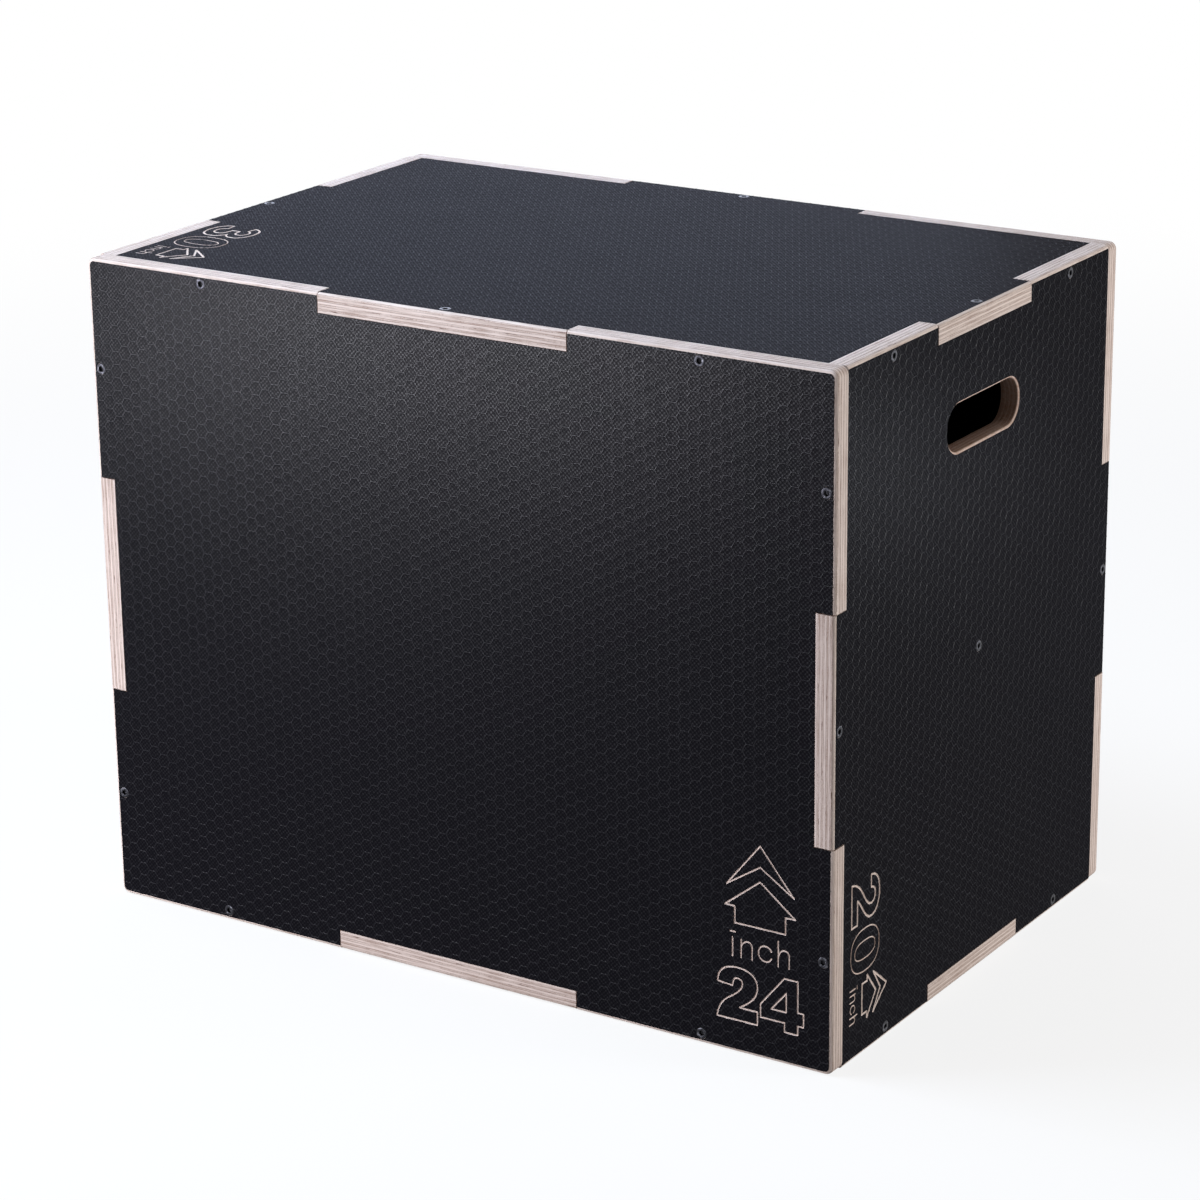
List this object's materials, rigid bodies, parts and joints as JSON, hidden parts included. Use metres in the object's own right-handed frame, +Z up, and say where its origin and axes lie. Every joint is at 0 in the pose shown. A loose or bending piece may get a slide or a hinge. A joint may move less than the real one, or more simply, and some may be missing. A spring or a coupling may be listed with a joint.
{
  "type": "plyo box",
  "caption": "Black film-faced plywood jump box with finger joints, hand holes and a different height on each way up.",
  "frame": {"origin": "middle of the underside, where the box stands on the floor at its 24 inch height", "axes": "+X along the 30 inch edge, +Y along the 20 inch edge from front to back, +Z up the 24 inch edge"},
  "size_m": [0.762, 0.508, 0.6096],
  "materials": {
    "plywood": "bare sanded birch plywood edges",
    "anti_slip_film": "black phenolic film with raised hexagons",
    "smooth_film": "black smooth phenolic film",
    "black_screw": "black oxide steel",
    "support_plywood": "bare plywood"
  },
  "bodies": {
    "root": {"front_panel": "plywood", "front_anti_slip_film": "anti_slip_film", "front_inner_film": "smooth_film", "front_screws": "black_screw", "right_end_panel": "plywood", "right_end_anti_slip_film": "anti_slip_film", "right_end_inner_film": "smooth_film", "right_end_screws": "black_screw", "back_panel": "plywood", "back_anti_slip_film": "anti_slip_film", "back_inner_film": "smooth_film", "back_screws": "black_screw", "left_end_panel": "plywood", "left_end_anti_slip_film": "anti_slip_film", "left_end_inner_film": "smooth_film", "left_end_screws": "black_screw", "top_panel": "plywood", "top_anti_slip_film": "anti_slip_film", "top_inner_film": "smooth_film", "top_screws": "black_screw", "bottom_panel": "plywood", "bottom_anti_slip_film": "anti_slip_film", "bottom_inner_film": "smooth_film", "bottom_screws": "black_screw", "inner_support_board": "support_plywood"}
  },
  "joints": []
}
